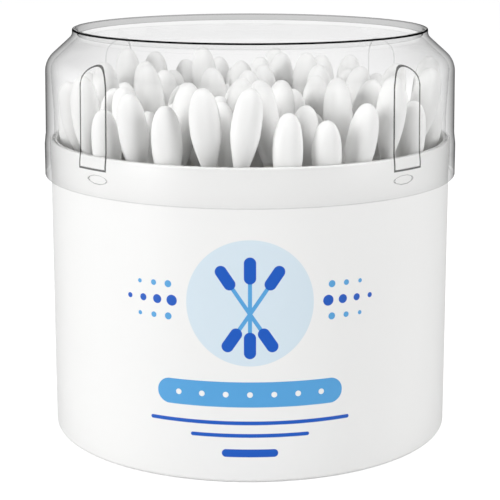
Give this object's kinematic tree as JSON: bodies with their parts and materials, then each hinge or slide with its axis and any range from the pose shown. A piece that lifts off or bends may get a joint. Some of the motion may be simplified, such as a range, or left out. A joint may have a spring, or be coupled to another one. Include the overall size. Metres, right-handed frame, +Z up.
{
  "type": "cotton swab tub",
  "caption": "Round white tub full of upright cotton swabs, under a clear press-on lid with a recessed top and four side flutes.",
  "frame": {"origin": "on the floor under the middle of the tub", "axes": "+Z up the tub, -Y towards the viewer of the picture, +X to the viewer's right"},
  "size_m": [0.0928, 0.0928, 0.0908],
  "materials": {
    "tub_plastic": "white moulded polypropylene, softly glossy",
    "clear_plastic": "clear moulded polystyrene, polished",
    "paper_stick": "tightly rolled white paper",
    "cotton": "bleached cotton fibre wound smooth"
  },
  "bodies": {
    "tub": {"tub": "tub_plastic", "sticks_1": "paper_stick", "sticks_2": "paper_stick", "sticks_3": "paper_stick", "sticks_4": "paper_stick", "sticks_5": "paper_stick", "sticks_6": "paper_stick", "sticks_7": "paper_stick", "sticks_8": "paper_stick", "upper_heads_1": "cotton", "upper_heads_2": "cotton", "upper_heads_3": "cotton", "upper_heads_4": "cotton", "upper_heads_5": "cotton", "upper_heads_6": "cotton", "upper_heads_7": "cotton", "upper_heads_8": "cotton", "lower_heads_1": "cotton", "lower_heads_2": "cotton", "lower_heads_3": "cotton", "lower_heads_4": "cotton", "lower_heads_5": "cotton", "lower_heads_6": "cotton", "lower_heads_7": "cotton", "lower_heads_8": "cotton"},
    "lid": {"lid": "clear_plastic"}
  },
  "joints": [
    {"name": "lid_lift", "type": "slide", "parent": "tub", "child": "lid", "axis": [0, 0, 1], "range_m": [0, 0.045]}
  ]
}
